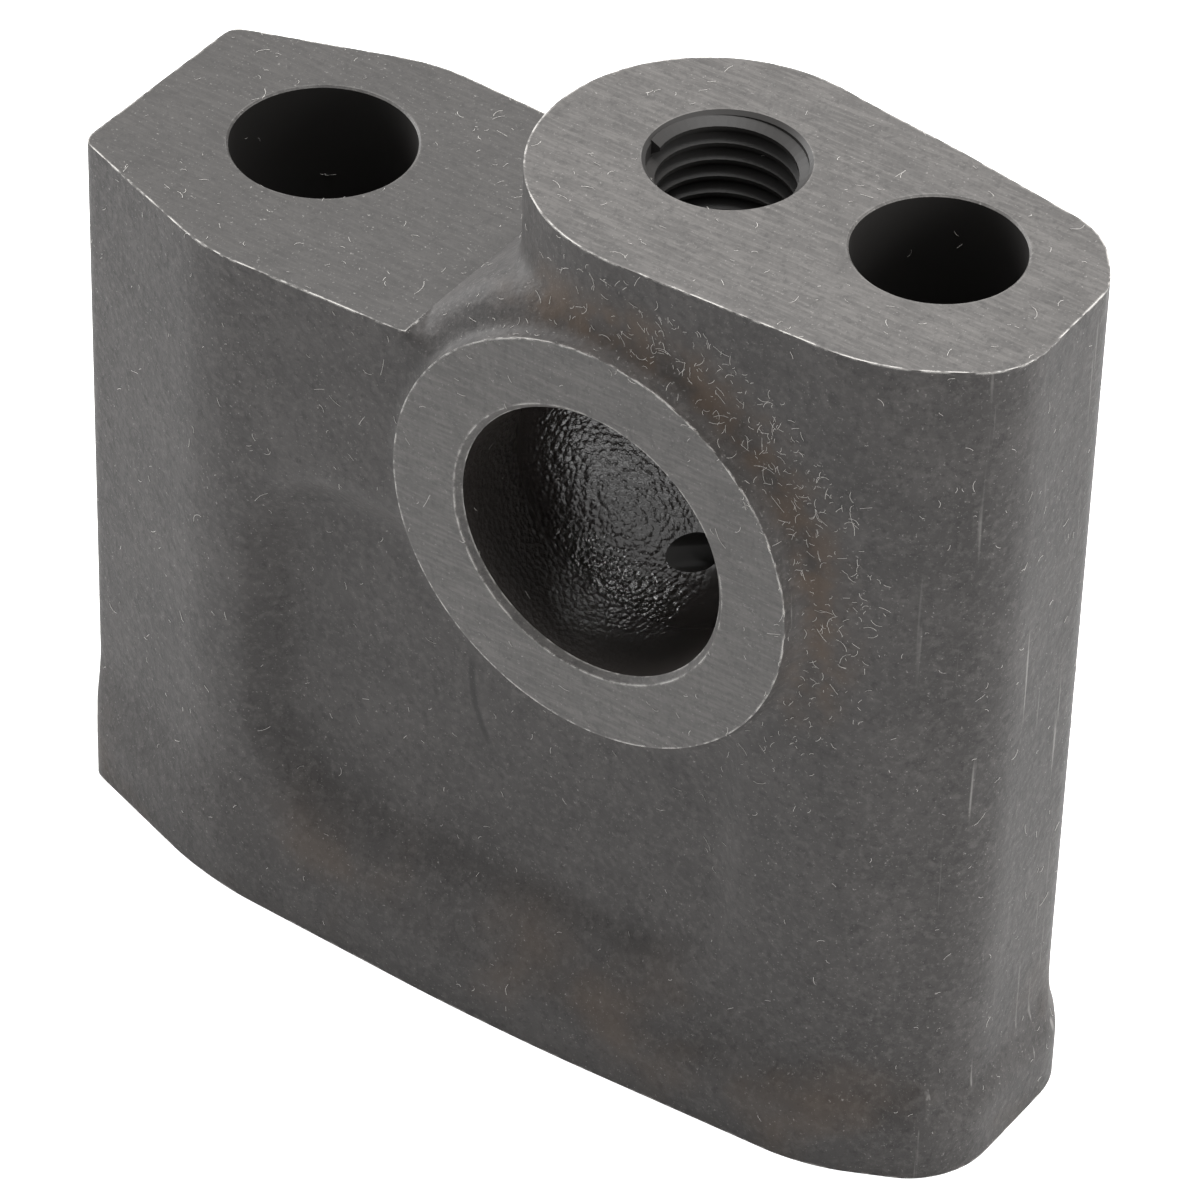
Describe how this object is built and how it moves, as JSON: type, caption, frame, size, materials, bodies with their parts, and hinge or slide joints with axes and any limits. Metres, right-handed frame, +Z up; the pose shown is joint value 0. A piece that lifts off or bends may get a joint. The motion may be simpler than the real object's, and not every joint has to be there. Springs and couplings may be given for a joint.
{
  "type": "machined mounting block",
  "caption": "Cast iron mounting block on a spread foot, with stepped machined pads, vertical bolt holes, a threaded hole between them and a bored boss on its front.",
  "frame": {"origin": "middle of the foot's underside", "axes": "+X along the block from the low pad to the raised pad, -Y out of the bored boss on the front, +Z up from the foot"},
  "size_m": [0.0834, 0.0334, 0.0764],
  "materials": {
    "casting": "dark grey dry coated casting with fine grain, machined pads a shade lighter with cutter marks and bright nicked edges"
  },
  "bodies": {
    "root": {"mounting_block": "casting"}
  },
  "joints": []
}
